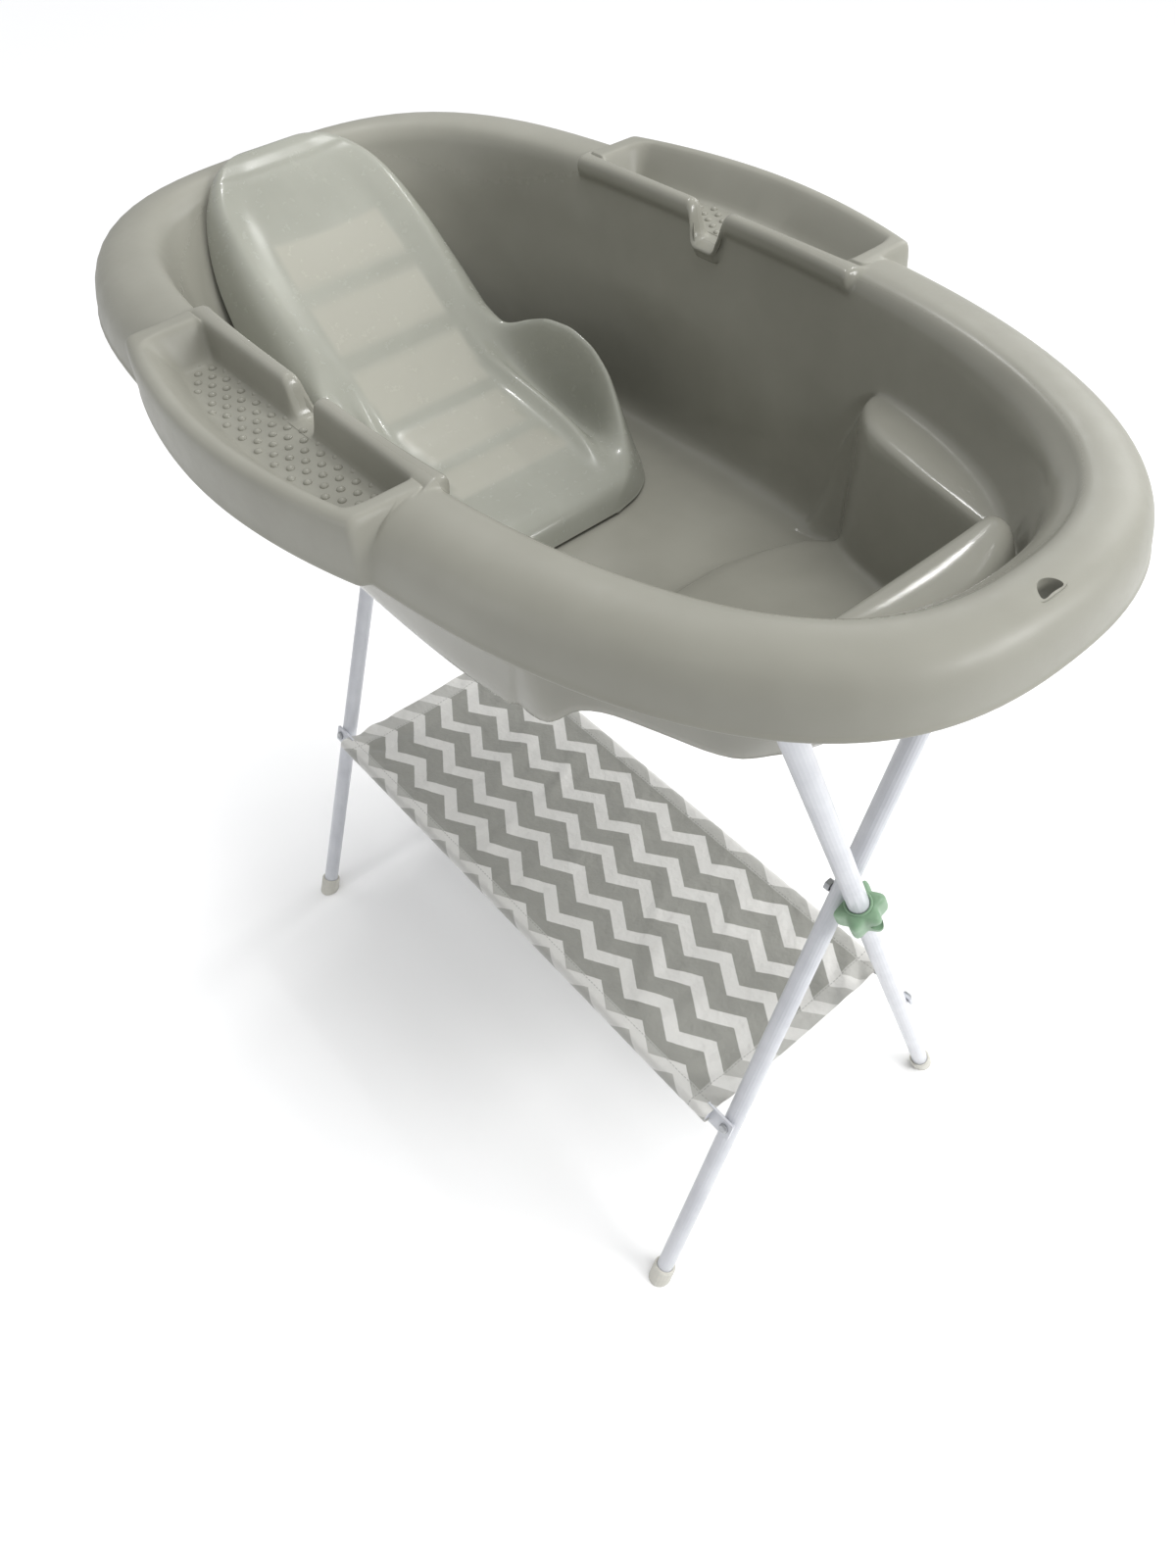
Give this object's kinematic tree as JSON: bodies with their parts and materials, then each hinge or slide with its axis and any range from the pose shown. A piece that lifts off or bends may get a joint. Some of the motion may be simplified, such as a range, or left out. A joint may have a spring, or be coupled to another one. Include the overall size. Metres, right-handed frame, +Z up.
{
  "type": "baby bath on folding stand",
  "caption": "Egg-shaped baby bath with side trays and a lift-out seat insert, on a folding crossed-leg stand with a cloth shelf.",
  "frame": {"origin": "on the floor, under the middle of the bath's bounding box", "axes": "+Z up, +X along the bath towards its foot end, +Y across the bath, away from the side where the inner legs stand on the floor"},
  "size_m": [0.892, 0.5438, 0.911],
  "materials": {
    "tub_plastic": "warm grey moulded plastic, satin outside and on the rim, glossier inside",
    "seat_plastic": "pale grey glossy plastic, slightly translucent",
    "white_paint": "white powder coat on steel tube",
    "white_plastic": "off-white moulded plastic",
    "green_plastic": "sage green moulded plastic",
    "zinc_steel": "zinc-plated steel",
    "chevron_cloth": "woven coated polyester with grey and white zigzag stripes"
  },
  "bodies": {
    "frame_b": {"inner_leg_head": "white_paint", "foot_cap_inner_head": "white_plastic", "leg_plug_inner_head": "white_plastic", "shelf_screw_near_head": "zinc_steel", "pivot_bolt_head": "zinc_steel", "pivot_washer_head": "zinc_steel", "pivot_nut_head": "zinc_steel", "inner_leg_foot": "white_paint", "foot_cap_inner_foot": "white_plastic", "leg_plug_inner_foot": "white_plastic", "shelf_screw_near_foot": "zinc_steel", "pivot_bolt_foot": "zinc_steel", "pivot_washer_foot": "zinc_steel", "pivot_nut_foot": "zinc_steel", "shelf_rod_near": "white_paint", "shelf_cloth": "chevron_cloth"},
    "frame_a": {"outer_upper_tube_head": "white_paint", "outer_lower_tube_head": "white_paint", "hub_head": "green_plastic", "foot_cap_outer_head": "white_plastic", "leg_plug_outer_head": "white_plastic", "shelf_screw_far_head": "zinc_steel", "outer_upper_tube_foot": "white_paint", "outer_lower_tube_foot": "white_paint", "hub_foot": "green_plastic", "foot_cap_outer_foot": "white_plastic", "leg_plug_outer_foot": "white_plastic", "shelf_screw_far_foot": "zinc_steel", "shelf_rod_far": "white_paint"},
    "tub": {"tub_shell": "tub_plastic"},
    "seat": {"seat_insert": "seat_plastic"}
  },
  "joints": [
    {"name": "stand_fold", "type": "hinge", "parent": "frame_b", "child": "frame_a", "pos_m": [-0.019, 0, 0.53], "axis": [-1, 0, 0], "range_deg": [0, 40], "deforming": ["shelf_cloth"]},
    {"name": "tub_lift", "type": "slide", "parent": "frame_b", "child": "tub", "axis": [0, 0.3614, 0.9324], "range_m": [0, 0.41]},
    {"name": "seat_lift", "type": "slide", "parent": "tub", "child": "seat", "axis": [0, 0, 1], "range_m": [0, 0.25]}
  ],
  "couplings": [
    {"joint": "tub_lift", "follows": "stand_fold", "m_per_rad": 0.585}
  ]
}
